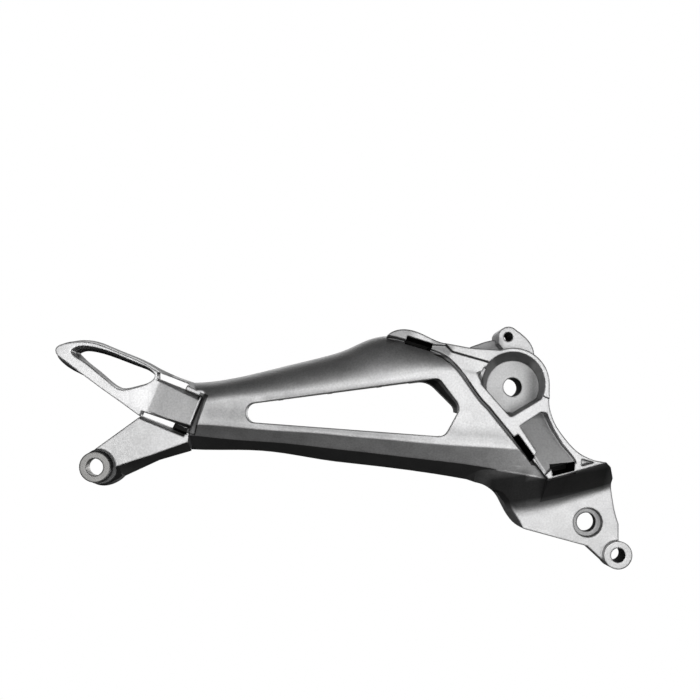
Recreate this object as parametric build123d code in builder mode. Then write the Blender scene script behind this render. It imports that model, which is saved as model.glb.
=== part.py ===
import os
from math import cos, radians, sin

from build123d import *

# A motorcycle footrest hanger: one aluminium casting that bolts to the right side of the frame.
# Frame of the part: the back face of the main bolt boss is the plane y = 0, with the bolt hole's
# axis at x = 0, z = 0. +X runs forward on the motorcycle, +Z up, and the painted face looks to -Y.
# A "height" below is the distance in front of that mounting plane, so y = -height. All in mm.

os.makedirs("parts", exist_ok=True)

# Heights in front of the mounting plane
rim_h = 40.0
collar_h = 41.5
wall = 4.5
beam_back_h = 14.0
facet_bottom_drop = 7.0
facet_bottom_h = rim_h - facet_bottom_drop
strip_drop = 0.4
window_wall_h = rim_h - 16.0
plate_back_h = 14.0
low_plate_h = 12.0

# Main bolt boss, at the middle of the frame
bolt_hole_r = 6.5
cup_floor_h = 20.0
cup_floor_r = 18.8
cup_mouth_r = 22.4
cup_mouth_x, cup_mouth_z = -4.0, 1.0
boss_r = 17.0

# Lower plate: stepped pivot hole and the small end lug
pivot_x, pivot_z = 56.0, -97.5
pivot_step_r = 10.5
pivot_step_depth = 5.0
pivot_hole_r = 6.8
end_lug_x, end_lug_z = 76.5, -120.5
end_lug_r = 10.2
end_lug_h = 16.0
end_lug_hole_r = 5.1

# Top lug
top_lug_x, top_lug_z = -4.5, 35.0
top_lug_h = 28.0
top_lug_hole_r = 3.2

# Eye at the rear end of the lower arm
eye_x, eye_z = -294.2, -56.5
eye_ring_r = 10.8
eye_hole_r = 6.0
eye_ring_h = 33.0
eye_base_h = 24.0
eye_base_r = 12.6
eye_back_recess_r = 8.0
eye_back_recess = 5.0

# Rear end: loop, pad between the two slots, and lower arm
loop_h = rim_h - 8.0
loop_back_h = loop_h - 12.0
pad_high_h = rim_h - 1.5
arm_high_h = rim_h - 6.5
arm_low_h = rim_h - 9.5
arm_top_h = arm_high_h + 0.5
arm_back_h = arm_high_h - 15.5
cut_clear = 2.0


def front(height):
    """Plane parallel to the mounting plane, at a height: sketch x is X, sketch y is Z."""
    return Plane.XZ.offset(height)


# Cross-sections of the beam, from the neck to the mounting plate:
# x, top edge, crown line, strip top, strip bottom, facet bottom, lower edge, crown below the rim
beam_stations = [
    (-232.0, 3.5, -12.0, -23.5, -26.5, -34.5, -44.5, 4.0),
    (-216.0, 4.0, -11.0, -24.0, -27.0, -35.5, -45.0, 4.0),
    (-202.0, 6.0, -9.0, -25.0, -28.0, -37.0, -45.0, 3.5),
    (-181.0, 10.5, -7.5, -27.0, -30.0, -38.5, -45.5, 2.5),
    (-150.5, 18.0, -4.5, -28.5, -32.0, -41.0, -49.5, 1.5),
    (-116.0, 28.0, 0.5, -31.5, -35.0, -45.0, -54.5, 0.5),
    (-98.0, 35.5, 3.5, -33.0, -36.5, -47.0, -56.5, 0.0),
    (-81.5, 36.5, 7.0, -34.0, -38.0, -49.0, -58.5, 0.0),
    (-47.0, 30.0, 10.5, -36.0, -41.0, -53.0, -63.5, 0.0),
    (-12.5, 8.0, 1.5, -37.5, -43.0, -58.5, -70.0, 0.0),
    (20.5, -24.0, -30.0, -39.0, -44.0, -64.5, -77.5, 0.0),
]


def beam_section(station, inset):
    """One closed section of the beam; an inset gives the section of the hollow behind the skin."""
    x, top, crown, strip_top, strip, facet, low, crown_drop = station
    crown_h = rim_h - crown_drop
    back = -beam_back_h if inset == 0 else -beam_back_h + wall
    reach = crown_h - beam_back_h - inset
    top_point = (-beam_back_h, top - inset)
    crown_point = (-crown_h + inset, crown)
    with BuildSketch(Plane.YZ.offset(x)) as section:
        with BuildLine():
            Bezier(
                top_point,
                (-beam_back_h - 0.5 * reach, top - inset),
                (-crown_h + inset, crown + 0.5 * (top - inset - crown)),
                crown_point,
            )
            Polyline(
                crown_point,
                (-crown_h + inset, strip_top),
                (-crown_h + strip_drop + inset, strip + 0.5 * inset),
                (-crown_h + facet_bottom_drop + 0.6 * inset, facet + 0.9 * inset),
                (back, low + 1.1 * inset),
                (back, top - inset),
            )
            if inset:
                Line((back, top - inset), top_point)
        make_face()
    return section.sketch


# The beam: a convex skin that curls back along its upper edge, with a light strip, a sloping facet
# and a steep underside below it
with BuildPart() as beam:
    loft(sections=[beam_section(station, 0) for station in beam_stations])

# The hollow behind the beam's skin, open at the back
with BuildPart() as hollow:
    loft(sections=[beam_section(station, wall) for station in beam_stations[1:9]])

rib_places = (-165.0, -130.0, -95.0, -66.0)
rib_thickness = 3.5

# Window through the beam: corners from the rear end round the upper side, and their radii. The
# upper front corner is sharper on the face than further in, so its wall leans into the opening.
window_corners = [(-188.0, -12.5), (-60.5, 4.2), (-39.8, -16.5), (-50.5, -35.2), (-188.0, -24.9)]
window_radii = [5.9, 14.0, 7.0, 7.0, 5.9]
window_face_corners = [(-188.0, -12.5), (-53.5, 5.4), (-39.3, -14.5), (-50.5, -35.2), (-188.0, -24.9)]
window_face_radii = [5.9, 3.5, 7.0, 7.0, 5.9]
side_relief = [(-41.5, -18.0), (-36.5, -19.5), (-46.0, -38.0), (-54.0, -36.5), (-49.0, -30.0)]
corner_gusset = [(-74.0, 3.0), (-62.0, 14.0), (-42.0, 12.0), (-32.0, -6.0), (-33.0, -24.0), (-44.0, -24.0)]


def window_face(height, corners, radii, grow):
    """The window's outline at a height, grown on all sides for the wall round it."""
    with BuildSketch(front(height)) as outline:
        with BuildLine():
            Polyline(*corners, close=True)
        make_face()
        for (x, z), radius in zip(corners, radii):
            fillet(outline.vertices().sort_by_distance((x, z, 0.0))[0], radius=radius)
        if grow:
            offset(amount=grow)
    return outline.sketch


with BuildPart() as window_wall:
    extrude(window_face(window_wall_h, window_corners, window_radii, wall), amount=rim_h)

with BuildPart() as window_space:
    loft(
        sections=[
            window_face(window_wall_h, window_corners, window_radii, 0.0),
            window_face(rim_h + cut_clear, window_face_corners, window_face_radii, 0.0),
        ],
        ruled=True,
    )
    extrude(window_face(0.0, window_corners, window_radii, 0.0), amount=window_wall_h)

with BuildPart() as window_relief:
    # only the skin is left beside the window's front edge
    with BuildSketch(front(0.0)):
        with BuildLine():
            Polyline(*side_relief, close=True)
        make_face()
    extrude(amount=rim_h - wall)

# The hollow keeps clear of the window's wall and of the gusset in its sharp corner
with BuildPart() as hollow_space:
    add(hollow.part)
    add(window_wall.part, mode=Mode.SUBTRACT)
    with BuildSketch(front(beam_back_h)):
        with BuildLine():
            Polyline(*corner_gusset, close=True)
        make_face()
    extrude(amount=rim_h, mode=Mode.SUBTRACT)
    # stiffening ribs across both rails
    with BuildSketch(front(beam_back_h + 3.0)):
        for rib_x in rib_places:
            with Locations((rib_x, 0.0)):
                Rectangle(rib_thickness, 140.0)
    extrude(amount=rim_h, mode=Mode.SUBTRACT)

# Mounting plate: its front outline, the diagonal edge beside the beam first
diagonal_edge = [(20.5, -64.5), (-20.0, -14.75)]
upper_seam = [(-20.0, -14.75), (-32.0, 0.0), (-42.5, 14.0), (-50.0, 20.5), (-60.0, 25.5), (-76.0, 31.5)]
upper_seam += [(-90.0, 35.0)]
crest = [(-90.0, 35.0), (-84.5, 38.2), (-79.0, 39.0), (-69.0, 37.0), (-58.0, 31.8), (-50.5, 29.3)]
top_rim = [(-50.5, 29.3), (-33.0, 26.0), (-12.0, 24.6)]
cup_rim = [(-12.0, 24.6), (14.5, 18.4), (21.5, 1.0)]
front_rim = [(21.5, -12.0), (22.5, -18.0), (26.0, -27.0), (32.5, -36.5), (41.0, -45.5), (50.0, -50.5)]
front_rim += [(60.5, -53.0)]
collar_inner = [(-50.5, 29.3), (-45.6, 23.5), (-21.4, 16.6), (0.0, 0.0), (21.5, -9.0), (21.5, 1.0)]

with BuildPart() as plate:
    with BuildSketch(front(plate_back_h)):
        with BuildLine():
            Polyline(*diagonal_edge)
            Spline(*upper_seam)
            Spline(*crest)
            Polyline(*top_rim)
            ThreePointArc(*cup_rim)
            Line(cup_rim[-1], front_rim[0])
            Spline(*front_rim)
            Line(front_rim[-1], diagonal_edge[0])
        make_face()
    extrude(amount=rim_h - plate_back_h)
    # raised collar that runs round the cup and out along the top edge
    with BuildSketch(front(rim_h - 1.0)):
        with BuildLine():
            Polyline(*collar_inner)
            ThreePointArc(*cup_rim)
            Polyline(*top_rim)
        make_face()
    extrude(amount=collar_h - rim_h + 1.0)

# The cup in front of the bolt boss, cut off straight along the diagonal rim and the rib below
cup_limit = [(-26.5, 2.5), (-5.0, -21.8), (18.5, -7.6), (40.0, 20.0), (0.0, 40.0), (-40.0, 20.0)]

with BuildPart() as cup_space:
    with BuildSketch(front(cup_floor_h)):
        Circle(cup_floor_r)
    with BuildSketch(front(rim_h + cut_clear)):
        with Locations((cup_mouth_x, cup_mouth_z)):
            Circle(cup_mouth_r)
    loft()
    with BuildSketch(front(cup_floor_h)):
        with BuildLine():
            Polyline(*cup_limit, close=True)
        make_face()
    extrude(amount=rim_h + cut_clear - cup_floor_h, mode=Mode.INTERSECT)

# Lower wall: the steep underside that sweeps from the plate's lower edge back to the lower plate.
# x, upper edge, its height, foot of the slope, its height, start of the flat plate
lower_wall_beam = [
    (-42.0, -53.6, facet_bottom_h - 3.0, -63.5, 13.0, -66.0),
    (-27.0, -57.2, facet_bottom_h - 3.0, -68.6, 13.5, -72.0),
    (-12.5, -58.7, facet_bottom_h, -77.5, 15.0, -85.0),
    (4.0, -61.4, facet_bottom_h, -85.0, 15.0, -93.5),
    (20.5, -64.5, facet_bottom_h, -82.5, 15.0, -91.5),
]
lower_wall_rim = [
    (20.5, -64.5, rim_h, -82.5, 15.0, -91.5),
    (36.0, -60.0, rim_h, -79.0, 15.0, -87.0),
    (60.0, -53.1, rim_h, -72.0, 15.0, -79.0),
    (78.0, -48.0, rim_h, -66.5, 15.0, -73.0),
]
lower_hollow_stations = [(20.5 + wall, *lower_wall_rim[0][1:]), *lower_wall_rim[1:3]]


def lower_section(x, top, top_h, foot, foot_h, flat):
    """One section of the lower wall: straight slope, hollow curve, then the flat lower plate."""
    corner = foot + 0.3 * (flat - foot)
    with BuildSketch(Plane.YZ.offset(x)) as section:
        with BuildLine():
            Polyline((0.0, -145.0), (0.0, top + 8.0), (-top_h, top), (-foot_h, foot))
            Bezier((-foot_h, foot), (-low_plate_h, corner), (-low_plate_h, flat))
            Polyline((-low_plate_h, flat), (-low_plate_h, -145.0), (0.0, -145.0))
        make_face()
    return section.sketch


# Lower plate outline: its rear edge, lower edge and front edge
lower_rear_edge = [(-26.0, -68.2), (-16.0, -71.8), (-10.0, -76.5), (-5.5, -84.0), (-0.5, -93.0), (4.5, -98.8)]
lower_rear_edge += [(11.5, -102.5)]
lower_edge = [(11.5, -102.5), (55.5, -114.5), (68.5, -126.5), (86.0, -117.0)]
lower_front_edge = [(86.0, -117.0), (83.0, -109.5), (79.0, -101.0), (75.0, -88.0), (73.0, -76.0)]
lower_front_edge += [(71.5, -65.0)]
lower_top_edge = [(71.5, -65.0), (66.0, -56.5), (60.8, -52.8), (45.0, -50.0), (0.0, -50.0), (-41.0, -54.0)]
lower_top_edge += [(-41.0, -63.0), (-26.0, -68.2)]

flank_low = [(-16.0, -71.8), (-10.5, -76.0), (-6.5, -82.0), (-2.0, -91.0), (3.0, -97.5), (9.0, -101.8)]
flank_low += [(9.0, -115.0), (-30.0, -115.0), (-30.0, -71.8)]
flank_high = [(-16.0, -71.8), (-3.0, -74.0), (6.0, -79.0), (14.0, -85.5), (17.0, -91.0), (10.0, -102.0)]
flank_high += [(9.0, -115.0), (-30.0, -115.0), (-30.0, -71.8)]


def lower_hollow_section(x, top, top_h, foot, foot_h, flat):
    """Section of the hollow behind the lower wall, one wall thickness inside it."""
    with BuildSketch(Plane.YZ.offset(x)) as section:
        with BuildLine():
            Polyline(
                (cut_clear, top - 1.0),
                (-top_h + 2.2 * wall, top - 3.0),
                (-foot_h + wall, foot + 1.0),
                (cut_clear, flat + 2.0 * wall),
                close=True,
            )
        make_face()
    return section.sketch


with BuildPart() as lower_body:
    for stations in (lower_wall_beam, lower_wall_rim):
        loft(sections=[lower_section(*station) for station in stations], ruled=True)
    with BuildSketch(front(0)):
        with BuildLine():
            Spline(*lower_rear_edge)
            Polyline(*lower_edge)
            Spline(*lower_front_edge)
            Polyline(*lower_top_edge)
        make_face()
    extrude(amount=rim_h + cut_clear, mode=Mode.INTERSECT)
    # sloping flank along the plate's rear edge
    with BuildSketch(front(4.0)):
        with BuildLine():
            Polyline(*flank_low, close=True)
        make_face()
    with BuildSketch(front(36.0)):
        with BuildLine():
            Polyline(*flank_high, close=True)
        make_face()
    loft(ruled=True, mode=Mode.SUBTRACT)

with BuildPart() as lower_hollow:
    loft(sections=[lower_hollow_section(*station) for station in lower_hollow_stations], ruled=True)

# Rear end, as two outlines with the same corners: the foot of the casting and its front face
rear_foot = [
    (-216.0, 0.0),
    (-227.5, 3.4),
    (-240.0, 8.0),
    (-251.5, 13.5),
    (-263.0, 19.5),
    (-281.0, 26.8),
    (-296.0, 32.5),
    (-304.0, 33.4),
    (-312.5, 32.5),
    (-319.5, 31.0),
    (-323.5, 28.0),
    (-324.5, 24.0),
    (-320.0, 17.0),
    (-313.0, 12.0),
    (-303.0, 7.0),
    (-291.0, -1.5),
    (-278.0, -11.0),
    (-264.5, -21.5),
    (-240.0, -31.0),
    (-216.0, -26.0),
]
rear_face = [
    (-216.0, -8.0),
    (-228.0, -0.8),
    (-242.0, 5.6),
    (-251.5, 10.6),
    (-263.0, 17.5),
    (-280.5, 24.8),
    (-295.0, 30.2),
    (-303.5, 31.2),
    (-312.0, 30.5),
    (-318.5, 29.0),
    (-321.5, 26.5),
    (-321.5, 23.5),
    (-316.5, 18.8),
    (-309.5, 13.3),
    (-302.0, 7.5),
    (-289.5, -1.8),
    (-276.5, -11.0),
    (-263.5, -20.5),
    (-240.0, -29.5),
    (-216.0, -24.0),
]

with BuildPart() as rear_end:
    for height, outline in ((loop_back_h, rear_foot), (loop_h, rear_face)):
        with BuildSketch(front(height)):
            with BuildLine():
                Spline(*outline[:4])
                Spline(*outline[3:9])
                Spline(*outline[8:15])
                Polyline(*outline[14:], outline[0])
            make_face()
    loft(ruled=True)

# The opening of the loop: a mouth that narrows from the face down to the through opening
loop_mouth = [
    (-311.5, 25.8),
    (-306.0, 28.8),
    (-297.0, 28.6),
    (-283.5, 25.0),
    (-263.0, 16.3),
    (-253.2, 10.4),
    (-252.0, 7.4),
    (-255.5, 2.8),
    (-266.0, -1.2),
    (-277.0, -2.5),
    (-283.6, 2.0),
    (-295.2, 11.6),
    (-304.8, 18.8),
    (-311.0, 22.5),
]
loop_through = [
    (-307.0, 24.0),
    (-304.0, 25.2),
    (-297.5, 25.0),
    (-284.0, 21.3),
    (-264.0, 13.8),
    (-255.0, 9.2),
    (-253.6, 7.2),
    (-256.5, 4.0),
    (-266.5, 0.6),
    (-277.0, -0.8),
    (-282.4, 1.9),
    (-292.7, 10.7),
    (-301.7, 17.8),
    (-306.0, 22.0),
]

with BuildPart() as loop_space:
    with BuildSketch(front(loop_h + cut_clear)):
        with BuildLine():
            Spline(*loop_mouth, periodic=True)
        make_face()
    with BuildSketch(front(loop_back_h + 3.0)):
        with BuildLine():
            Spline(*loop_through, periodic=True)
        make_face()
    loft(ruled=True)
    with BuildSketch(front(loop_back_h + 3.5)):
        with BuildLine():
            Spline(*loop_through, periodic=True)
        make_face()
    extrude(amount=-8.0)

# Pad between the two slots: it rises from the loop's face towards the beam and ends in a step
pad_start = (-253.0, -6.5)
pad_end = (-222.8, -18.9)
pad_half_width = 11.6
pad_axis = Vector(pad_end[0] - pad_start[0], 0, pad_end[1] - pad_start[1])

with BuildPart() as pad:
    pad_plane = Plane(
        origin=(pad_start[0], 0, pad_start[1]),
        x_dir=pad_axis.normalized(),
        z_dir=pad_axis.normalized().cross(Vector(0, 1, 0)),
    )
    with BuildSketch(pad_plane):
        with BuildLine():
            Polyline(
                (-6.0, -loop_back_h),
                (-6.0, -loop_h),
                (0.0, -loop_h),
                (pad_axis.length, -pad_high_h),
                (pad_axis.length, -loop_back_h),
                close=True,
            )
        make_face()
    extrude(amount=pad_half_width, both=True)

# Lower arm: from the neck down to the eye, its face leaning back towards the eye
arm_foot = [(-263.5, -20.5), (-301.0, -46.8), (-304.0, -60.0), (-294.0, -70.2), (-284.5, -69.0)]
arm_foot += [(-276.0, -63.3), (-251.5, -52.0), (-229.0, -45.5), (-228.0, -30.0)]
arm_face = [(-263.0, -21.5), (-296.0, -45.5), (-298.0, -56.0), (-294.0, -61.0), (-290.0, -58.5)]
arm_face += [(-282.6, -54.8), (-254.0, -47.2), (-229.0, -38.7), (-228.0, -30.0)]
arm_reach = 80.0

with BuildPart() as arm:
    for height, outline in ((arm_back_h, arm_foot), (arm_top_h, arm_face)):
        with BuildSketch(front(height)):
            with BuildLine():
                Polyline(*outline[:3])
                Spline(*outline[2:6])
                Polyline(*outline[5:], outline[0])
            make_face()
    loft(ruled=True)
    # lean the face: full height at the beam, lower at the eye
    with BuildSketch(Plane.XY.offset(-arm_reach)):
        with BuildLine():
            Polyline(
                (-228.0, -arm_high_h),
                (-283.0, -arm_low_h),
                (-310.0, -arm_low_h),
                (-310.0, -arm_top_h - cut_clear),
                (-220.0, -arm_top_h - cut_clear),
                (-220.0, -arm_high_h),
                close=True,
            )
        make_face()
    extrude(amount=arm_reach, mode=Mode.SUBTRACT)

# Top lug outline: its rear side, then its front side running down to the collar
top_lug_side = [(-7.0, 20.0), (-7.5, 25.5), (-11.5, 30.5), (-11.3, 37.2)]
top_lug_front = [(0.8, 40.0), (5.5, 36.5), (11.0, 30.5), (13.8, 21.0)]
top_web = [(-36.0, 20.0), (-29.0, 29.0), (-19.0, 32.5), (-12.5, 34.0), (-7.0, 27.0), (-7.0, 20.0)]

# Groove that sets the plate off from the beam's skin, along the diagonal edge and the upper seam
groove_depth = 3.2
groove_bite = 0.3
groove_side = [(19.0, -65.8), (-21.5, -15.97)]
groove_seam = [(-21.5, -15.97), (-33.5, -1.2), (-43.8, 12.6), (-51.2, 19.0), (-60.8, 23.8), (-76.6, 29.7)]
plate_side = [(x + groove_bite, z + groove_bite) for x, z in [diagonal_edge[0]] + upper_seam[:-1]]

# Groove at the start of the neck, wider at its lower end, that sets the pad's step off
neck_groove = [(-217.8, -5.4), (-216.6, -5.8), (-225.0, -33.6), (-228.8, -32.6)]
neck_groove_h = rim_h - 10.0

# Pocket below the cup, its floor leaning back towards the cup, and the three tab slots in the rim
pocket_depth = 6.5
pocket_lean = 12.0
pocket_x, pocket_z = 22.0, -40.0
pocket_outline = [
    (1.3, -27.8),
    (16.0, -18.2),
    (20.0, -18.8),
    (22.0, -24.0),
    (25.5, -31.5),
    (31.0, -40.5),
    (38.0, -49.0),
    (40.5, -53.0),
    (23.0, -57.5),
    (18.6, -62.0),
    (11.2, -49.5),
    (13.0, -45.7),
]
pocket_floor = Plane(
    origin=(pocket_x, pocket_depth - rim_h, pocket_z),
    x_dir=(1, 0, 0),
    z_dir=(0, -cos(radians(pocket_lean)), sin(radians(pocket_lean))),
)
pocket_points = [(x - pocket_x, (z - pocket_z) / cos(radians(pocket_lean))) for x, z in pocket_outline]
rim_recesses = [
    ([(-27.3, 6.5), (-22.8, 13.2), (-19.0, 10.0), (-22.0, -1.2)], 4.0),
    ([(44.0, -50.6), (53.0, -53.0), (44.0, -55.4)], 8.0),
]
rim_facet = [(-14.5, 5.5), (-3.8, 4.4), (0.8, -0.2), (0.2, -8.5), (-16.0, 1.0)]
rim_facet_plane = Plane(origin=(-46.0, -rim_h, 23.5), x_dir=(1.0, 0.2, 0.0), z_dir=(-0.2, -1.0, 0.12))
back_pocket = [(-34.0, -24.0), (-30.0, -13.0), (4.0, -50.0), (6.0, -58.0), (-14.0, -54.0), (-38.0, -49.5)]
back_pocket += [(-44.0, -40.0)]
back_pocket_h = 34.0
tab_slot_depth = 24.0
tab_slots = [
    [(-76.2, 34.5), (-58.7, 29.0), (-61.3, 24.7), (-77.5, 30.8)],
    [(-3.0, -35.6), (0.3, -33.4), (11.4, -48.8), (9.5, -52.0)],
    [(23.0, -57.2), (39.3, -52.8), (39.0, -58.6), (24.0, -62.4)],
]

# Slots through the rear end, beside the pad, and the channels in line with them
upper_slot = [(-250.6, 9.9), (-229.3, 1.6), (-231.3, -2.2), (-250.6, 5.5)]
lower_slot = [(-262.0, -17.6), (-239.8, -25.2), (-241.8, -29.2), (-263.2, -20.8)]
upper_channel = [(-230.0, 1.8), (-216.5, -4.2), (-218.5, -8.0), (-232.0, -2.0)]
upper_channel_h = loop_h - 1.0
lower_channel = [(-241.0, -24.8), (-229.5, -29.4), (-230.0, -33.8), (-242.0, -29.0)]
lower_channel_h = loop_h - 10.0
slot_draft = 0.27
slot_drafts = [
    ((-250.6, 5.7), (-219.5, -7.0), 27.0, -1.0),
    ((-263.0, -20.4), (-231.0, -33.0), 24.0, -1.0),
    ((-262.0, -17.9), (-226.5, -30.0), 29.0, 1.0),
]

# The hanger: everything joined, then the openings cut
with BuildPart() as hanger_casting:
    add(beam.part)
    add(hollow_space.part, mode=Mode.SUBTRACT)
    add(plate.part)
    add(lower_body.part)
    add(rear_end.part)
    add(pad.part)
    add(arm.part)
    # main bolt boss
    with BuildSketch(front(0)):
        Circle(boss_r)
    extrude(amount=cup_floor_h + 1.0)
    # top lug, as deep as its bolt is long, and the low web beside it
    with BuildSketch(front(0)):
        with BuildLine():
            Polyline(*top_lug_side)
            ThreePointArc(top_lug_side[-1], (top_lug_x - 0.3, top_lug_z + 7.1), top_lug_front[0])
            Spline(*top_lug_front)
            Line(top_lug_front[-1], top_lug_side[0])
        make_face()
    extrude(amount=top_lug_h)
    with BuildSketch(front(0)):
        with BuildLine():
            Polyline(*top_web, close=True)
        make_face()
    extrude(amount=plate_back_h + 2.0)
    # end lug of the lower plate
    with BuildSketch(front(0)):
        with Locations((end_lug_x, end_lug_z)):
            Circle(end_lug_r)
    extrude(amount=end_lug_h)
    # eye of the lower arm: a round foot with a taller ring
    with BuildSketch(front(arm_back_h)):
        with Locations((eye_x + 1.5, eye_z)):
            Circle(eye_base_r)
    extrude(amount=eye_base_h - arm_back_h)
    with BuildSketch(front(eye_base_h)):
        with Locations((eye_x + 1.5, eye_z)):
            Circle(eye_base_r)
    extrude(amount=rim_h - eye_base_h, mode=Mode.SUBTRACT)
    with BuildSketch(front(arm_back_h)):
        with Locations((eye_x, eye_z)):
            Circle(eye_ring_r)
    extrude(amount=eye_ring_h - arm_back_h)

    # openings
    add(window_space.part, mode=Mode.SUBTRACT)
    add(window_relief.part, mode=Mode.SUBTRACT)
    add(cup_space.part, mode=Mode.SUBTRACT)
    add(loop_space.part, mode=Mode.SUBTRACT)
    with BuildSketch(front(0)):
        Circle(bolt_hole_r)
        with Locations((top_lug_x, top_lug_z)):
            Circle(top_lug_hole_r)
        with Locations((pivot_x, pivot_z)):
            Circle(pivot_hole_r)
        with Locations((end_lug_x, end_lug_z)):
            Circle(end_lug_hole_r)
        with Locations((eye_x, eye_z)):
            Circle(eye_hole_r)
    extrude(amount=rim_h, mode=Mode.SUBTRACT)
    with BuildSketch(front(arm_back_h)):
        with Locations((eye_x, eye_z)):
            Circle(eye_back_recess_r)
    extrude(amount=eye_back_recess, mode=Mode.SUBTRACT)
    with BuildSketch(front(low_plate_h - pivot_step_depth)):
        with Locations((pivot_x, pivot_z)):
            Circle(pivot_step_r)
    extrude(amount=rim_h, mode=Mode.SUBTRACT)
    add(lower_hollow.part, mode=Mode.SUBTRACT)
    with BuildSketch(front(0)):
        with BuildLine():
            Polyline(*back_pocket, close=True)
        make_face()
    extrude(amount=back_pocket_h, taper=3.0, mode=Mode.SUBTRACT)
    for recess, depth in rim_recesses:
        with BuildSketch(front(rim_h + cut_clear)):
            with BuildLine():
                Polyline(*recess, close=True)
            make_face()
        extrude(amount=-depth - cut_clear, mode=Mode.SUBTRACT)
    with BuildSketch(rim_facet_plane):
        with BuildLine():
            Polyline(*rim_facet, close=True)
        make_face()
    extrude(amount=rim_h, mode=Mode.SUBTRACT)
    with BuildSketch(front(rim_h - groove_depth)):
        with BuildLine():
            Polyline(plate_side[1], plate_side[0], *groove_side)
            Spline(*groove_seam)
            Line(groove_seam[-1], plate_side[-1])
            Spline(*reversed(plate_side[1:]))
        make_face()
    extrude(amount=rim_h, mode=Mode.SUBTRACT)
    # pocket below the cup
    with BuildSketch(pocket_floor):
        with BuildLine():
            Polyline(*pocket_points, close=True)
        make_face()
    extrude(amount=rim_h, dir=(0, -1, 0), mode=Mode.SUBTRACT)
    with BuildSketch(front(neck_groove_h)):
        with BuildLine():
            Polyline(*neck_groove, close=True)
        make_face()
    extrude(amount=rim_h, mode=Mode.SUBTRACT)
    # three tab slots
    for tab_slot in tab_slots:
        with BuildSketch(front(rim_h)):
            with BuildLine():
                Polyline(*tab_slot, close=True)
            make_face()
        extrude(amount=-tab_slot_depth, mode=Mode.SUBTRACT)
    # two slots beside the pad, with shallow channels in line with them
    for through_slot in (upper_slot, lower_slot):
        with BuildSketch(front(0)):
            with BuildLine():
                Polyline(*through_slot, close=True)
            make_face()
        extrude(amount=rim_h, mode=Mode.SUBTRACT)
    # the walls beside the slots lean away from them
    for (start_x, start_z), (end_x, end_z), foot_h, side in slot_drafts:
        run = Vector(end_x - start_x, 0, end_z - start_z)
        across = run.normalized().cross(Vector(0, 1, 0))
        top_h = rim_h + cut_clear
        lean = side * slot_draft * (top_h - foot_h)
        with BuildSketch(Plane(origin=(start_x, 0, start_z), x_dir=across, z_dir=run)):
            with BuildLine():
                Polyline((0.0, foot_h), (0.0, top_h), (lean, top_h), close=True)
            make_face()
        extrude(amount=run.length, mode=Mode.SUBTRACT)
    for channel, floor_h in ((upper_channel, upper_channel_h), (lower_channel, lower_channel_h)):
        with BuildSketch(front(floor_h)):
            with BuildLine():
                Polyline(*channel, close=True)
            make_face()
        extrude(amount=rim_h, mode=Mode.SUBTRACT)

hanger_casting.part.label = "hanger_casting"
export_step(hanger_casting.part, "parts/hanger_casting.step")
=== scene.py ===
import math

import bpy
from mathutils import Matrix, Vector


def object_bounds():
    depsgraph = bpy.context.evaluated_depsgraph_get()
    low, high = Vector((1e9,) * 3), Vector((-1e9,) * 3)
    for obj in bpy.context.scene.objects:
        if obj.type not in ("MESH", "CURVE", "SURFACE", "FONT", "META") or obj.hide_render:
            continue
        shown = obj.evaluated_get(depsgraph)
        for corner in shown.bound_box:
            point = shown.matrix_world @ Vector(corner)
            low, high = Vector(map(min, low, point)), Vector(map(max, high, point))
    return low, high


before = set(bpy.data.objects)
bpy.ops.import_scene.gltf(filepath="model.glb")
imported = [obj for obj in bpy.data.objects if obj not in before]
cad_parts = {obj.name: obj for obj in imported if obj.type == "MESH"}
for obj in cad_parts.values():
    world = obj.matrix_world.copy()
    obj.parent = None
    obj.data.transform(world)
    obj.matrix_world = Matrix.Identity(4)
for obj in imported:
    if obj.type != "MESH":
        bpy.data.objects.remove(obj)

# %% [markdown]
# # A painted casting: the footrest hanger
#
# The real hanger is one aluminium casting in satin silver paint. Its shape is already there in the
# imported model, so nothing is modelled twice here: this lesson softens its edges, gives the paint
# and the machined faces their finish, paints shade into the slots, bores, grooves and recesses and
# onto steep walls, paints a highlight onto the loop, and lights it as in a small studio.
# The box of the imported model is kept first, and the floor is later set below it.

# %% Keep the size of the imported model
cad_box = [list(corner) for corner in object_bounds()]
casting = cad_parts["hanger_casting"]
print("packed model box in metres:", cad_box)
print("triangles in the casting:", len(casting.data.polygons))

# %% [markdown]
# ## The camera
#
# The photograph looks straight at the painted face from about two thirds of a metre. The camera is
# level, and the lens is shifted instead of the camera being tilted, so upright edges stay upright.

# %% Camera: lengths on the picture are in pixels
picture_width = 700.0
focal_length = 900.0
shift_right, shift_up = 10.0, 76.0
camera_data = bpy.data.cameras.new("studio_camera")
camera_data.sensor_width = 36.0
camera_data.lens = camera_data.sensor_width * focal_length / picture_width
camera_data.shift_x = shift_right / picture_width
camera_data.shift_y = shift_up / picture_width
camera = bpy.data.objects.new("studio_camera", camera_data)
camera.location = (-0.12286, -0.661, -0.02778)
camera.rotation_euler = (math.radians(90.0), 0.0, 0.0)
bpy.context.scene.collection.objects.link(camera)
bpy.context.scene.camera = camera
print("camera lens in mm:", round(camera_data.lens, 2))

# %% [markdown]
# ## Small helpers
#
# The paint is a long chain of simple nodes. A few helpers build them, so that each later step says
# only what it changes. An input takes either a plain value or the output of another node.

# %% Helpers: place a node, feed an input, do a sum
def node_at(tree, kind, x, y):
    """A shader node of one kind, placed where it can be read in the editor."""
    node = tree.nodes.new(kind)
    node.location = (x, y)
    return node


def feed(tree, socket, value):
    """Gives an input a plain value, or links another node's output to it."""
    if isinstance(value, bpy.types.NodeSocket):
        tree.links.new(value, socket)
    else:
        socket.default_value = value


def math_node(tree, operation, first, second, x, y, clamp=False):
    """The result of one sum on two values."""
    node = node_at(tree, "ShaderNodeMath", x, y)
    node.operation = operation
    node.use_clamp = clamp
    feed(tree, node.inputs[0], first)
    feed(tree, node.inputs[1], second)
    return node.outputs[0]


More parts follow.
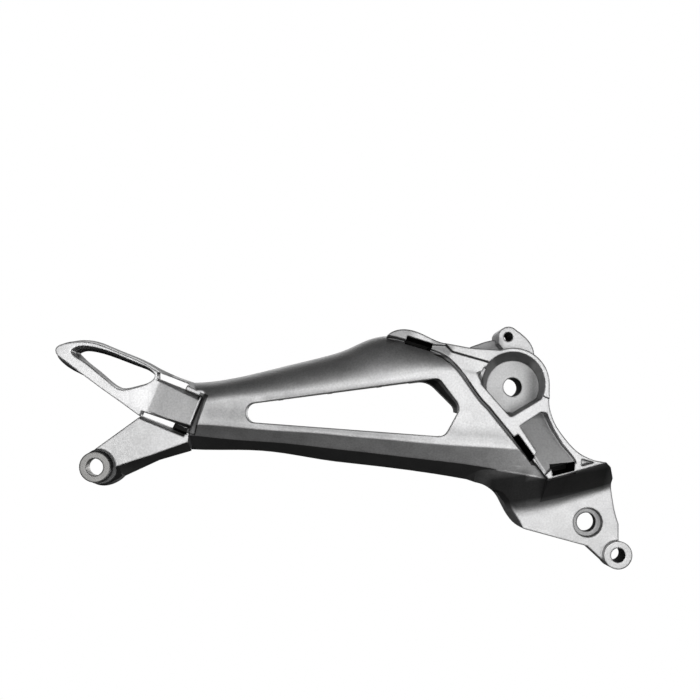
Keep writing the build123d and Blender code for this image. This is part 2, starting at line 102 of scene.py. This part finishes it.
# %% Helpers: stretch a value, change a colour
def ranged(tree, value, from_range, to_range, x, y, smooth=False):
    """A value stretched from one range to another, in a straight line or in a smooth step."""
    node = node_at(tree, "ShaderNodeMapRange", x, y)
    if smooth:
        node.interpolation_type = "SMOOTHSTEP"
    for name, limit in zip(("From Min", "From Max", "To Min", "To Max"), from_range + to_range):
        node.inputs[name].default_value = limit
    tree.links.new(value, node.inputs["Value"])
    return node.outputs["Result"]


def grey(tone):
    """A grey of one tone, as a colour."""
    return (tone, tone, tone, 1.0)


def changed(tree, blend, colour, other, where, x, y):
    """A colour that another one multiplies or, with MIX, replaces where a mask says so."""
    node = node_at(tree, "ShaderNodeMix", x, y)
    node.data_type = "RGBA"
    node.blend_type = blend
    feed(tree, node.inputs["Factor"], where)
    feed(tree, node.inputs["A"], colour)
    feed(tree, node.inputs["B"], other)
    return node.outputs["Result"]


print("a middle grey as a colour:", grey(0.5))

# %% [markdown]
# ## Where a finish changes
#
# The casting is one piece, so its finishes, and the places where shade or a highlight is painted,
# are told apart by place. Two node groups do this: one marks the inside of a slanted box, with a
# crisp or a soft border, for the slots, seams and recesses, and one marks a round face about a
# hole, for the bores and for what a drill or a cutter has bared. Both read the object's own
# coordinates, in metres, so the marks stay on the metal whatever the view is.

# %% Helpers: the start of a node group
def new_group(name, inputs, outputs):
    """An empty node group with named numbers going in and out."""
    group = bpy.data.node_groups.new(name, "ShaderNodeTree")
    for label, default in inputs.items():
        socket = group.interface.new_socket(label, in_out="INPUT", socket_type="NodeSocketFloat")
        socket.default_value = default
    for label in outputs:
        group.interface.new_socket(label, in_out="OUTPUT", socket_type="NodeSocketFloat")
    given = node_at(group, "NodeGroupInput", -900, 0)
    result = node_at(group, "NodeGroupOutput", 700, 0)
    return group, given.outputs, result.inputs


def from_centre(group, given):
    """How far a point is from the given centre in x and in z, and its own y."""
    place = node_at(group, "ShaderNodeTexCoord", -900, 300)
    parts = node_at(group, "ShaderNodeSeparateXYZ", -720, 300)
    group.links.new(place.outputs["Object"], parts.inputs[0])
    from_x = math_node(group, "SUBTRACT", parts.outputs["X"], given["Centre X"], -540, 300)
    from_z = math_node(group, "SUBTRACT", parts.outputs["Z"], given["Centre Z"], -540, 150)
    return from_x, from_z, parts.outputs["Y"]


def within(tree, distance, limit, border, y):
    """One well inside a limit, nothing outside it, and a fade over the border between."""
    spare = math_node(tree, "SUBTRACT", limit,
                      math_node(tree, "ABSOLUTE", distance, 0.0, 0, y), 150, y)
    return math_node(tree, "DIVIDE", spare, border, 240, y, clamp=True)


# %% Group: inside of a slanted slot
crisp = 0.00002
slot_group, given, result = new_group("inside_of_slot", {
    "Centre X": 0.0, "Centre Z": 0.0, "Slope": 0.0, "Half length": 0.01, "Half width": 0.002,
    "Front height": 0.038, "Floor height": 0.0, "Soft edge": crisp, "Soft ends": crisp}, ["Mask"])
from_x, from_z, own_y = from_centre(slot_group, given)
cosine = math_node(slot_group, "COSINE", given["Slope"], 0.0, -540, 0)
sine = math_node(slot_group, "SINE", given["Slope"], 0.0, -540, -150)
along = math_node(slot_group, "ADD",
                  math_node(slot_group, "MULTIPLY", from_x, cosine, -360, 300),
                  math_node(slot_group, "MULTIPLY", from_z, sine, -360, 200), -200, 300)
across = math_node(slot_group, "SUBTRACT",
                   math_node(slot_group, "MULTIPLY", from_z, cosine, -360, 100),
                   math_node(slot_group, "MULTIPLY", from_x, sine, -360, 0), -200, 100)
print("width of a crisp border in mm:", round(1000.0 * crisp, 3))

# %% Group: the mask of the slot
in_length = within(slot_group, along, given["Half length"], given["Soft ends"], 300)
in_width = within(slot_group, across, given["Half width"], given["Soft edge"], 100)
height = math_node(slot_group, "MULTIPLY", own_y, -1.0, -200, -100)
under_front = math_node(slot_group, "LESS_THAN", height, given["Front height"], 0, -100)
over_floor = math_node(slot_group, "GREATER_THAN", height, given["Floor height"], 0, -250)
deep = math_node(slot_group, "MULTIPLY", under_front, over_floor, 200, -150)
inside = math_node(slot_group, "MULTIPLY", in_length, in_width, 330, 200)
feed(slot_group, result["Mask"], math_node(slot_group, "MULTIPLY", inside, deep, 500, 100))
print("group made:", slot_group.name)

# %% Group: round machined face
face_group, given, result = new_group("round_machined_face", {
    "Centre X": 0.0, "Centre Z": 0.0, "Radius": 0.01, "Front height": 0.03},
    ["Mask", "Turning marks"])
from_x, from_z, own_y = from_centre(face_group, given)
square = math_node(face_group, "ADD",
                   math_node(face_group, "MULTIPLY", from_x, from_x, -360, 300),
                   math_node(face_group, "MULTIPLY", from_z, from_z, -360, 150), -200, 250)
radius = math_node(face_group, "SQRT", square, 0.0, -50, 250)
in_round = math_node(face_group, "LESS_THAN", radius, given["Radius"], 120, 250)
front_y = math_node(face_group, "MULTIPLY", given["Front height"], -1.0, -50, 50)
on_front = math_node(face_group, "LESS_THAN", own_y, front_y, 120, 50)
feed(face_group, result["Mask"],
     math_node(face_group, "MULTIPLY", in_round, on_front, 300, 150))
print("group made:", face_group.name)

# %% Group: the turning marks of the face
ring_frequency = 9000.0  # radians to the metre
turns = math_node(face_group, "MULTIPLY", radius, ring_frequency, 120, -100)
rings = math_node(face_group, "SINE", turns, 0.0, 300, -100)
halved = math_node(face_group, "MULTIPLY", rings, 0.5, 400, -100)
feed(face_group, result["Turning marks"], math_node(face_group, "ADD", halved, 0.5, 500, -100))
print("turning marks: a ring each", round(2000.0 * math.pi / ring_frequency, 2), "mm")

# %% [markdown]
# ## The silver paint
#
# Satin silver paint on a casting has three scales of detail. From far away it is even. At a few
# millimetres it waves slightly, because the casting under it does, and close up it has a fine
# orange peel. Fine metal flakes make it bright where it faces the light and dark soon after it
# tilts away, so nearly all of its colour is metallic.

# %% Material: satin silver paint
paint = bpy.data.materials.new("satin_silver_paint")
paint.use_nodes = True
tree = paint.node_tree
shader = tree.nodes["Principled BSDF"]
shader.location = (900, 0)
tree.nodes["Material Output"].location = (1200, 0)
place = node_at(tree, "ShaderNodeTexCoord", -1500, 0)


def noise(scale, detail, y, roughness=0.5):
    """A noise on the object's own coordinates, with so many cells to the metre."""
    node = node_at(tree, "ShaderNodeTexNoise", -1200, y)
    node.inputs["Scale"].default_value = scale
    node.inputs["Detail"].default_value = detail
    node.inputs["Roughness"].default_value = roughness
    tree.links.new(place.outputs["Object"], node.inputs["Vector"])
    return node.outputs["Fac"]


waves = noise(110.0, 3.0, 300)
peel_scale = 1400.0
peel = noise(peel_scale, 2.0, 0)
clouds = noise(28.0, 4.0, 600)
print("finest detail in mm:", round(1000.0 / peel_scale, 2))

# %% Colour of the paint: silver, a little uneven
middle_of_noise = (0.3, 0.7)
darker_silver = (0.60, 0.60, 0.605, 1.0)
lighter_silver = (0.66, 0.66, 0.66, 1.0)
cloudy = ranged(tree, clouds, middle_of_noise, (0.0, 1.0), -900, 600)
silver = changed(tree, "MIX", darker_silver, lighter_silver, cloudy, -600, 600)
print("silver between tones:", darker_silver[0], lighter_silver[0])

# %% [markdown]
# ## Grain
#
# A casting has a sandy skin, and thin silver paint doesn't hide it. Close up the tone is mottled in
# spots of about a millimetre. A fine noise, multiplied into the silver, gives that at any distance.

# %% Grain: the sandy skin of the casting shows through the paint
grain_shares = (0.86, 1.10)
grain = noise(750.0, 3.0, 900, roughness=0.6)
sandy = ranged(tree, grain, middle_of_noise, grain_shares, -900, 900)
grained = changed(tree, "MULTIPLY", silver, sandy, 1.0, -450, 900)
print("grain multiplies the tone by", grain_shares)

# %% [markdown]
# ## Painted shade on the steep walls
#
# Steep walls are painted darker, as the shade where the light falls off on them. The object's own
# normal tells how steep a wall is: its Y part is near one on the faces and near nothing on such a
# wall. A smooth step turns that into a share of the full tone.

# %% Tone of the steep walls
steep_shade_share = 0.74
wall_normal = node_at(tree, "ShaderNodeSeparateXYZ", -900, 1200)
tree.links.new(place.outputs["Normal"], wall_normal.inputs[0])
facing = math_node(tree, "ABSOLUTE", wall_normal.outputs["Y"], 0.0, -750, 1200)
# Painted shade: steep walls darker, as the light falls off on them.
steep_wall_shade = ranged(tree, facing, (0.45, 0.76), (steep_shade_share, 1.0), -600, 1200, smooth=True)
steep_shaded = changed(tree, "MULTIPLY", grained, steep_wall_shade, 1.0, -450, 1200)
print("share of the tone left on a square wall:", steep_shade_share)

# %% [markdown]
# ## Painted shade on the walls that look down
#
# A steep wall that looks down is painted darker still, as shade. The Z part of the same normal
# finds these walls.

# %% Tone of the walls that look down
down_shade_share = 0.36
looking_down = (-0.84, -0.66)
# Painted shade: walls that look down darker still.
below = ranged(tree, wall_normal.outputs["Z"], looking_down, (down_shade_share, 1.0), -600, 1500,
               smooth=True)
shaded = changed(tree, "MULTIPLY", steep_shaded, below, 1.0, -450, 1500)
print("share of the tone left on a wall that looks down:", down_shade_share)

# %% [markdown]
# ## Painted shade in the recesses
#
# The cup, the pocket and the step of the pivot hole are painted darker, as the shade that falls in
# them. Each place is one slanted box of the slot group, and a helper joins several boxes into one
# mask.

# %% Helpers: several groups, and several masks as one
def groups_at(kind, places, x, y, step):
    """A copy of one node group for each place, below each other, with the place's values."""
    groups = []
    for number, (name, values) in enumerate(places.items()):
        group = node_at(tree, "ShaderNodeGroup", x, y - step * number)
        group.node_tree = kind
        group.label = name
        for socket, value in zip(group.inputs, values):
            socket.default_value = value
        groups.append(group)
    return groups


def joined(masks, x, y, step):
    """One mask that holds wherever any of several does."""
    together = masks[0]
    for number, mask in enumerate(masks[1:], 1):
        together = math_node(tree, "MAXIMUM", together, mask, x, y - step * number)
    return together


def in_boxes(boxes, x, y):
    """One mask for several slanted boxes."""
    masks = [group.outputs["Mask"] for group in groups_at(slot_group, boxes, x, y, 240)]
    return joined(masks, x + 220, y, 240)


# %% [markdown]
# ## How a box is written
#
# A box is written as the values of the slot group: centre x and z, slope in radians, half length,
# half width, the heights over the back between which it counts, and then, for a soft border, how
# wide the sides and the ends fade. All but the slope are in metres. Some heights come back in many
# boxes, so they have names.

# %% Heights that many boxes share
over_everything = 0.0420
under_rim = 0.0300
under_skin = 0.0250
just_under_collar = 0.0393
slot_top, slot_floor = 0.0385, 0.0150
seam_top, seam_floor = 0.0388, 0.0350
wall_top, wall_foot = 0.0380, 0.0080
print("height over the back that no face reaches:", over_everything)

# %% Recesses: the cup, the pocket under it and the pivot hole's step
cup_share = 0.74
pocket_share = 0.55
cup_place = {
    "bolt_cup": (-0.0010, 0.0005, 0.0, 0.0230, 0.0230, just_under_collar, 0.0195),
}
pocket_place = {
    "pocket": (0.0200, -0.0395, -1.026, 0.0240, 0.0105, just_under_collar, 0.0270),
    "pivot_step": (0.0560, -0.0975, 0.0, 0.0108, 0.0108, 0.0117, 0.004),
}
# Painted shade in the cup, the pocket and the pivot step.
cup_shaded = changed(tree, "MULTIPLY", shaded, grey(cup_share),
                   in_boxes(cup_place, -1200, -300), -500, 600)
recess_shaded = changed(tree, "MULTIPLY", cup_shaded, grey(pocket_share),
                     in_boxes(pocket_place, -1200, -600), -400, 600)
print("recesses with thin paint:", len(cup_place) + len(pocket_place))

# %% [markdown]
# ## Patches of painted shade
#
# Some places are painted darker, as soft shade with no clear border: on the rim's rear tip and
# beside its upper slot, on the skin before the plate and at the neck, on the web by the top lug, at
# the front of the cup's floor, and along the window above and below. The same boxes mark them, with
# a soft edge of some millimetres, so that the tone fades.

# %% Painted shade: soft-edged patches painted darker
shade_patch_share = 0.58
shade_patches = {
    "rear_tip_of_the_rim": (
        -0.0815, 0.0375, -0.10, 0.0140, 0.0085, over_everything, under_skin, 0.005, 0.007),
    "rim_beside_upper_slot": (
        -0.0528, 0.0262, -0.35, 0.0095, 0.0055, over_everything, under_rim, 0.003, 0.003),
    "skin_before_the_plate": (
        -0.0290, -0.0335, -0.09, 0.0290, 0.0065, over_everything, under_rim, 0.010, 0.010),
    "front_of_the_cup_floor": (
        0.0150, 0.0010, 1.571, 0.0180, 0.0080, 0.0215, 0.0190, 0.008, 0.010),
    "edge_over_the_window": (
        -0.1194, -0.0025, 0.115, 0.0640, 0.0032, over_everything, under_skin, 0.003, 0.010),
    "web_beside_top_lug": (
        -0.0190, 0.0290, 0.25, 0.0120, 0.0050, 0.0300, 0.0100, 0.003, 0.003),
    "skin_at_the_neck": (
        -0.1990, -0.0190, 0.0, 0.0310, 0.0160, over_everything, under_skin, 0.014, 0.016),
    "strip_under_the_window": (
        -0.1264, -0.0302, -0.093, 0.0800, 0.0052, over_everything, under_skin, 0.004, 0.045),
}
# Painted shade on soft-edged patches.
patch_shaded = changed(tree, "MULTIPLY", recess_shaded, grey(shade_patch_share),
               in_boxes(shade_patches, -1500, -900), -350, 600)
print("dull places:", len(shade_patches))

# %% [markdown]
# ## Painted shade on the walls, a painted highlight on the loop
#
# The wall between the rim and the lower plate is painted dark, as the shade on a wall that looks
# down. The same painted shade lies on the walls of the loop, along the rolled edge of its opening,
# and inside the front corner of the window. The strap loop at the rear end is painted lighter, as a
# highlight, so its paint is the lightest on the part. One set of boxes darkens the tone and another
# box lifts it.

# %% Painted shade on the lower wall, a painted highlight on the loop
wall_shade_share = 0.27
loop_highlight_share = 1.3
wall_shade_places = {
    "lower_wall": (0.0260, -0.0708, 0.17, 0.0450, 0.0115, wall_top, wall_foot, 0.005, 0.006),
    "wall_corner": (-0.0030, -0.0735, 0.17, 0.0170, 0.0150, wall_top, wall_foot, 0.006, 0.006),
    "loop_inner_edge": (
        -0.2946, 0.0128, -0.665, 0.0185, 0.0021, over_everything, 0.0100, 0.0010, 0.005),
    "loop_walls": (-0.2860, 0.0115, -0.395, 0.0440, 0.0210, 0.0272, 0.0202, 0.002, 0.002),
    "window_corner": (-0.0490, -0.0020, 0.0, 0.0180, 0.0170, 0.0340, 0.0050, 0.001, 0.001),
}
loop_highlight_place = {
    "strap_loop": (-0.2860, 0.0115, -0.395, 0.0440, 0.0210, 0.0400, 0.0, 0.006, 0.012),
}
# Painted shade on the lower wall, the loop's walls and the window's front corner.
wall_shaded = changed(tree, "MULTIPLY", patch_shaded, grey(wall_shade_share),
                 in_boxes(wall_shade_places, -1800, -900), -330, 800)
# Painted highlight: the strap loop lighter.
loop_highlighted = changed(tree, "MULTIPLY", wall_shaded, grey(loop_highlight_share),
                in_boxes(loop_highlight_place, -1800, -1200), -310, 800)
print("places with film or clean paint:", len(wall_shade_places) + len(loop_highlight_place))

# %% [markdown]
# ## Seams
#
# Shade is painted in the groove round the plate, in the line along the rim, beside the cup, at the
# neck and behind the ring of the eye. Each seam is one narrow box or a chain of them, laid along
# the groove, in a dark grey.

# %% Seams: the groove round the plate in straight runs, the rim line, the neck and the eye
groove_shade_tone = 0.12
seams = {
    "diagonal_seam": (-0.0004, -0.0401, -0.887, 0.0330, 0.0012, seam_top, seam_floor),
    "upper_seam_1": (-0.0267, -0.0080, -0.889, 0.0099, 0.0013, seam_top, seam_floor),
    "upper_seam_2": (-0.0379, 0.0063, -0.930, 0.0089, 0.0013, seam_top, seam_floor),
    "upper_seam_3": (-0.0469, 0.0166, -0.713, 0.0052, 0.0013, seam_top, seam_floor),
    "upper_seam_4": (-0.0556, 0.0223, -0.464, 0.0056, 0.0013, seam_top, seam_floor),
    "neck_seam": (-0.2227, -0.0193, 1.221, 0.0150, 0.0034, 0.0364, 0.0290),
    "eye_foot": (-0.2920, -0.0565, 0.0, 0.0140, 0.0140, 0.0298, 0.0200),
    "rim_line_long": (
        -0.0332, 0.0199, -0.279, 0.0132, 0.0011, over_everything, under_rim, 0.0006),
    "rim_line_short": (
        -0.0476, 0.0258, -0.840, 0.0036, 0.0011, over_everything, under_rim, 0.0006),
    "beside_the_cup": (
        -0.0252, 0.0054, -1.1, 0.0050, 0.0024, over_everything, under_rim, 0.0014),
}
# Painted shade in the grooves and seams, in a dark grey.
groove_shaded = changed(tree, "MIX", loop_highlighted, grey(groove_shade_tone), in_boxes(seams, -1200, -900), -300, 600)
print("seam runs:", len(seams))

# %% [markdown]
# ## Slots
#
# The three tab slots in the rim and the channel beside the pad are deep and narrow, and the shade
# in them is painted black. Their masks end at the walls, so the border is crisp.

# %% Slots: three tab slots in the rim and the channel beside the pad
slot_shade_tone = 0.012
slots = {
    "upper_tab_slot": (-0.0678, 0.0296, -0.31, 0.0092, 0.0027, slot_top, slot_floor),
    "diagonal_tab_slot": (0.0045, -0.0425, -0.965, 0.0112, 0.0024, slot_top, slot_floor),
    "lower_tab_slot": (0.0315, -0.0576, 0.10, 0.0088, 0.0042, slot_top, slot_floor),
    "lower_channel": (-0.2356, -0.0292, -0.40, 0.0068, 0.0028, 0.0285, 0.0210),
}
# Painted shade: the deep slots black.
slotted = changed(tree, "MIX", groove_shaded, grey(slot_shade_tone), in_boxes(slots, -1200, -2500), -150, 600)
print("dark slots:", len(slots))

# %% [markdown]
# ## Bores and machined faces
#
# The walls of the drilled bores are painted dark, as the shade inside them.
# The ring of the rear eye was turned flat, which left fine rings in grey metal. A round place is
# written as centre x and z, radius, and the height over the back from which it counts. For a bore
# that height lies behind the part, so the whole depth counts.

# %% Bores
behind_part = -0.01
bore_shade_tone = 0.045
bores = {
    "main_bolt_bore": (0.0, 0.0, 0.00655, behind_part),
    "pivot_bore": (0.0560, -0.0975, 0.00685, behind_part),
    "end_lug_bore": (0.0765, -0.1205, 0.00515, behind_part),
    "top_lug_bore": (-0.0045, 0.0350, 0.00325, behind_part),
}
bore_groups = groups_at(face_group, bores, -300, -1300, 220)
in_bore = joined([group.outputs["Mask"] for group in bore_groups], -100, -1300, 220)
# Painted shade: the bore walls nearly black.
bored = changed(tree, "MIX", slotted, grey(bore_shade_tone), in_bore, -50, 600)
print("bores:", len(bores))

# %% Machined faces
bare_metal = (0.32, 0.317, 0.31, 1.0)
machined = {
    "rear_eye": (-0.2942, -0.0565, 0.0112, 0.0326),
    "rear_eye_bore": (-0.2942, -0.0565, 0.00605, behind_part),
}
eye_face, eye_bore = groups_at(face_group, machined, -900, -1300, 220)
bare = joined([eye_face.outputs["Mask"], eye_bore.outputs["Mask"]], -450, -1300, 0)
face_marks, bore_marks = [
    math_node(tree, "MULTIPLY", group.outputs["Mask"], group.outputs["Turning marks"], -650, y)
    for group, y in ((eye_face, -1400), (eye_bore, -1620))]
marks = math_node(tree, "ADD", face_marks, bore_marks, -450, -1500)
machined_colour = changed(tree, "MIX", bored, bare_metal, bare, 150, 600)
tree.links.new(machined_colour, shader.inputs["Base Color"])
print("machined faces:", len(machined))

# %% [markdown]
# ## Gloss
#
# Satin paint blurs what it mirrors. Its gloss follows the slow waves of the casting, and the oily
# bores are fully dull. The paint is nearly all metal flake, so the metal share is close to one.

# %% Gloss and metal
metal_share = 0.98
roughness_of_paint = (0.50, 0.55)
shader.inputs["Metallic"].default_value = metal_share
gloss = ranged(tree, waves, middle_of_noise, roughness_of_paint, -600, 300)
matt = node_at(tree, "ShaderNodeMix", -300, 300)
matt.data_type = "FLOAT"
feed(tree, matt.inputs["Factor"], in_bore)
feed(tree, matt.inputs["A"], gloss)
feed(tree, matt.inputs["B"], 1.0)
tree.links.new(matt.outputs["Result"], shader.inputs["Roughness"])
print("roughness of the paint:", roughness_of_paint)

# %% [markdown]
# ## Soft edges
#
# A die casting has no knife edges: every corner is rounded by one or two millimetres, and the paint
# rounds it a little more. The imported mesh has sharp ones. A bevel modifier could round them, but
# its many small triangles leave it no room, so the shader's bevel node does it. It rounds the
# shading only: each corner gets a thin soft line, dark where it turns away and light where it faces
# the lamp.

# %% Soft edges
edge_radius = 0.0018
soft_edges = node_at(tree, "ShaderNodeBevel", 0, -400)
soft_edges.samples = 8
soft_edges.inputs["Radius"].default_value = edge_radius
print("radius of the soft edges in mm:", 1000.0 * edge_radius)

# %% [markdown]
# ## Fine relief
#
# Three kinds of relief are too fine for the mesh: the waves of the cast skin, the orange peel of
# the paint and the rings that a lathe left on the eye. The waves are a tenth of a millimetre high
# at the most, and the other two about a fiftieth or less. Each is a bump, added one after the other
# to the softened edges.


# %% Bumps: waves of the casting, orange peel, turning marks
def bump(relief, distance, strength, normal, x):
    """A normal that a fine relief tilts a little further."""
    node = node_at(tree, "ShaderNodeBump", x, -300)
    node.inputs["Distance"].default_value = distance
    node.inputs["Strength"].default_value = strength
    tree.links.new(relief, node.inputs["Height"])
    tree.links.new(normal, node.inputs["Normal"])
    return node.outputs["Normal"]


waved = bump(waves, 0.0004, 0.25, soft_edges.outputs["Normal"], 250)
peeled = bump(peel, 0.00006, 0.35, waved, 450)
ringed = bump(marks, 0.00004, 0.25, peeled, 650)
tree.links.new(ringed, shader.inputs["Normal"])
for slot in casting.material_slots:
    slot.material = paint
print("material on the casting:", casting.material_slots[0].material.name)

# %% [markdown]
# ## Floor and backdrop
#
# The part hangs in front of plain white, and the floor lies well below it. Both are white only as
# the camera sees them. To every other ray the floor is nearly black, so it adds no light of its own
# to the metal.

# %% Floor: its shape
reach = 3.0
floor_level = cad_box[0][2] - 0.9
floor_corners = [(x, y, floor_level)
                 for x, y in ((-reach, -reach), (reach, -reach), (reach, reach), (-reach, reach))]
floor_mesh = bpy.data.meshes.new("studio_floor")
floor_mesh.from_pydata(floor_corners, [], [(0, 1, 2, 3)])
floor = bpy.data.objects.new("studio_floor", floor_mesh)
bpy.context.scene.collection.objects.link(floor)
print("floor at z =", round(floor_level, 3))

# %% Floor: white to the camera, nearly black to every other ray
floor_paint = bpy.data.materials.new("pale_floor")
floor_paint.use_nodes = True
floor_tree = floor_paint.node_tree
dark_floor = floor_tree.nodes["Principled BSDF"]
dark_floor.inputs["Base Color"].default_value = grey(0.02)
glow = node_at(floor_tree, "ShaderNodeEmission", 0, -300)
glow.inputs["Color"].default_value = grey(1.0)
floor_rays = node_at(floor_tree, "ShaderNodeLightPath", -300, 300)
choose = node_at(floor_tree, "ShaderNodeMixShader", 300, 0)
floor_tree.links.new(floor_rays.outputs["Is Camera Ray"], choose.inputs["Fac"])
floor_tree.links.new(dark_floor.outputs["BSDF"], choose.inputs[1])
floor_tree.links.new(glow.outputs["Emission"], choose.inputs[2])
floor_output = floor_tree.nodes["Material Output"]
floor_tree.links.new(choose.outputs["Shader"], floor_output.inputs["Surface"])
floor_mesh.materials.append(floor_paint)
print("material on the floor:", floor_paint.name)

# %% [markdown]
# ## The room
#
# The real room shows only as reflections: dark undersides, dark grey upper sides, and a white sheet
# behind the part. The world gives all three. The camera sees white everywhere. A glossy ray sees
# the white sheet where it leaves nearly straight back, so metal shows it at a glancing look, and
# every other ray finds a dim room that is a little lighter above.

# %% World: a dim room that is lighter above
world = bpy.data.worlds.new("studio_world")
bpy.context.scene.world = world
world.use_nodes = True
sky_tree = world.node_tree
sky = sky_tree.nodes["Background"]
sky.inputs["Color"].default_value = grey(1.0)
direction = node_at(sky_tree, "ShaderNodeTexCoord", -900, 0)
split = node_at(sky_tree, "ShaderNodeSeparateXYZ", -700, 0)
sky_tree.links.new(direction.outputs["Generated"], split.inputs[0])
room_light = (0.002, 0.04)
dim_room = ranged(sky_tree, split.outputs["Z"], (-0.4, 0.8), room_light, -500, 0)
print("strength of the room's light, below and above:", room_light)

# %% World: the white sheet, and white for the camera
sheet_edge, sheet_middle = 0.96, 0.995
sky_rays = node_at(sky_tree, "ShaderNodeLightPath", -700, 300)
sheet = ranged(sky_tree, split.outputs["Y"], (sheet_edge, sheet_middle), (0.0, 1.0), -500, -250)
mirrored = math_node(sky_tree, "MULTIPLY", sky_rays.outputs["Is Glossy Ray"], sheet, -300, -250)
room = math_node(sky_tree, "MAXIMUM", dim_room, mirrored, -300, -50)
lit = node_at(sky_tree, "ShaderNodeMix", -200, 0)
lit.data_type = "FLOAT"
feed(sky_tree, lit.inputs["Factor"], sky_rays.outputs["Is Camera Ray"])
feed(sky_tree, lit.inputs["A"], room)
feed(sky_tree, lit.inputs["B"], 1.0)
sky_tree.links.new(lit.outputs["Result"], sky.inputs["Strength"])
print("the white sheet shows in glossy rays within degrees of straight back:",
      round(math.degrees(math.acos(sheet_edge))))

# %% [markdown]
# ## Light
#
# One broad soft lamp stands just behind the camera, a little to its right. Faces that look at the
# viewer shine, faces that tilt up or down fall off quickly, and the sides of the studio are dark.

# %% Lamp
def soft_lamp(name, power, width, height, place, aim):
    """A broad lamp at a place, turned to a spot on the part."""
    data = bpy.data.lights.new(name, "AREA")
    data.shape = "RECTANGLE"
    data.size = width
    data.size_y = height
    data.energy = power
    lamp = bpy.data.objects.new(name, data)
    lamp.location = place
    lamp.rotation_euler = (Vector(aim) - lamp.location).to_track_quat("-Z", "Y").to_euler()
    bpy.context.scene.collection.objects.link(lamp)
    print(name, "power in watts:", power)
    return lamp


soft_lamp("broad_front_lamp", 8.2, 1.5, 0.5, (-0.06, -1.0, -0.07), (-0.10, 0.0, -0.04))

# %% [markdown]
# ## Light from behind
#
# The back of the casting never shows in the main view, but it shows from other sides.
# Three more soft lamps light the ribs, the pockets, the top and the ends: one nearly level with the
# part, behind it and far to the right, one above and behind, and a weak one off the rear end. From
# there they don't shine through the holes at the viewer.

# %% Back lamps: power and place of each
middle_of_part = (-0.12, 0.0, -0.03)
back_lamps = {
    "side_back_lamp": (18.0, (1.0, 1.1, 0.1)),
    "high_back_lamp": (5.0, (-0.12, 1.2, 0.8)),
    "rear_side_lamp": (5.0, (-1.4, 0.5, 0.2)),
}
for name, (power, lamp_place) in back_lamps.items():
    soft_lamp(name, power, 1.2, 0.7, lamp_place, middle_of_part).visible_camera = False

# %% [markdown]
# ## Colours as they are written
#
# A view transform changes colours between the render and the picture. The standard one leaves them
# as they are, so that the tones above can be compared with the real paint.

# %% View transform
view = bpy.context.scene.view_settings
view.view_transform = "Standard"
print("view transform:", view.view_transform)
